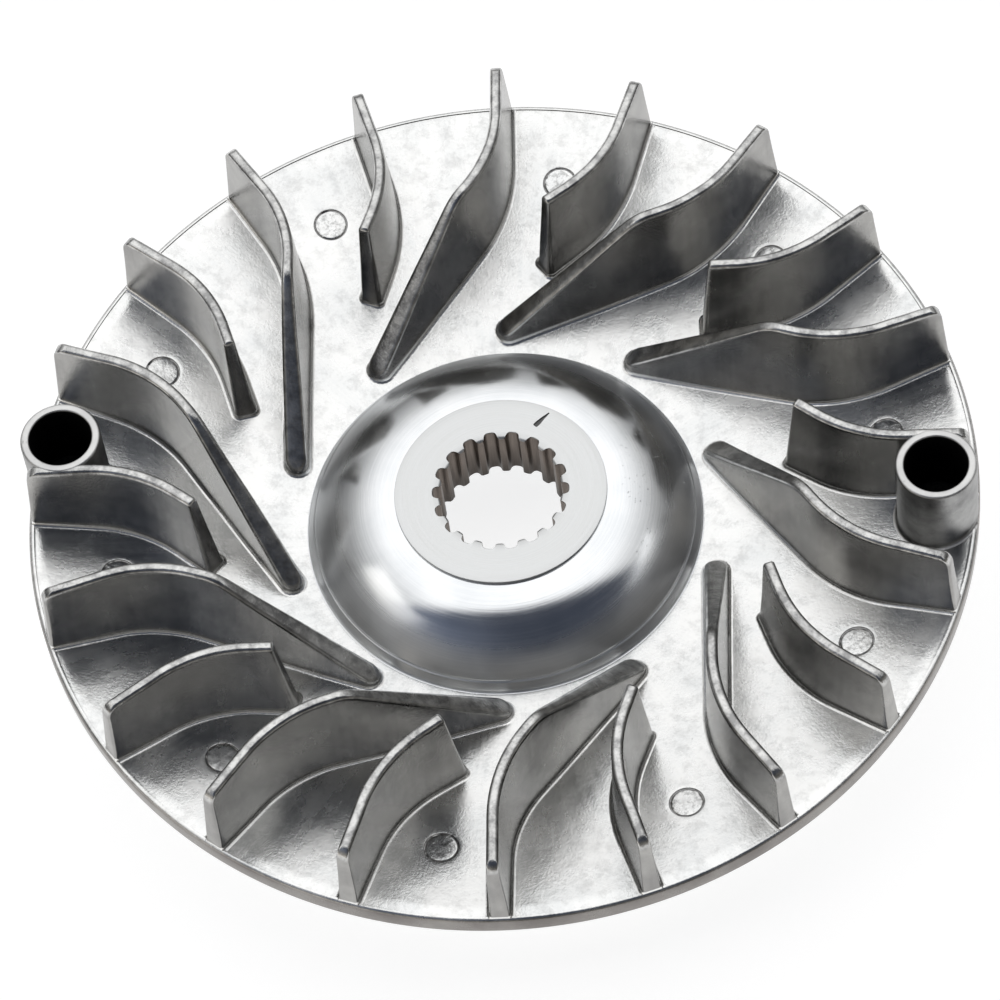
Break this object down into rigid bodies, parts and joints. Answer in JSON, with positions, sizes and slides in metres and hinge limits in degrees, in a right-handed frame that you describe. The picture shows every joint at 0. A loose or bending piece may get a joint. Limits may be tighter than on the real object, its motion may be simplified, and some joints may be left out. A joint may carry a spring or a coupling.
{
  "type": "engine flywheel with cooling fan",
  "caption": "Round cast disc with swept radial fan blades on one side, a smooth belt cone on the other, and a splined steel sleeve in a domed hub.",
  "frame": {"origin": "on the spin axis, in the plane of the flat ring that the belt side rests on", "axes": "+Z along the spin axis towards the fan side; +X through the centre of a holder socket"},
  "size_m": [0.125, 0.125, 0.025],
  "materials": {
    "cast_web": "as-cast skin, bright, brushed in places",
    "turned_dome": "turned and polished",
    "cast_blade": "as-cast skin, satin",
    "steel_sleeve": "faced and broached steel"
  },
  "bodies": {
    "root": {"belt_disc": "cast_web", "hub_dome": "turned_dome", "spline_sleeve": "steel_sleeve", "long_blade_1": "cast_blade", "long_blade_2": "cast_blade", "long_blade_3": "cast_blade", "long_blade_4": "cast_blade", "long_blade_5": "cast_blade", "long_blade_6": "cast_blade", "long_blade_7": "cast_blade", "long_blade_8": "cast_blade", "long_blade_9": "cast_blade", "long_blade_10": "cast_blade", "short_blade_1": "cast_blade", "short_blade_2": "cast_blade", "short_blade_3": "cast_blade", "short_blade_4": "cast_blade", "short_blade_5": "cast_blade", "short_blade_6": "cast_blade", "short_blade_7": "cast_blade", "short_blade_8": "cast_blade", "short_blade_9": "cast_blade", "short_blade_10": "cast_blade", "holder_boss_1": "cast_web", "holder_boss_2": "cast_web"}
  },
  "joints": []
}
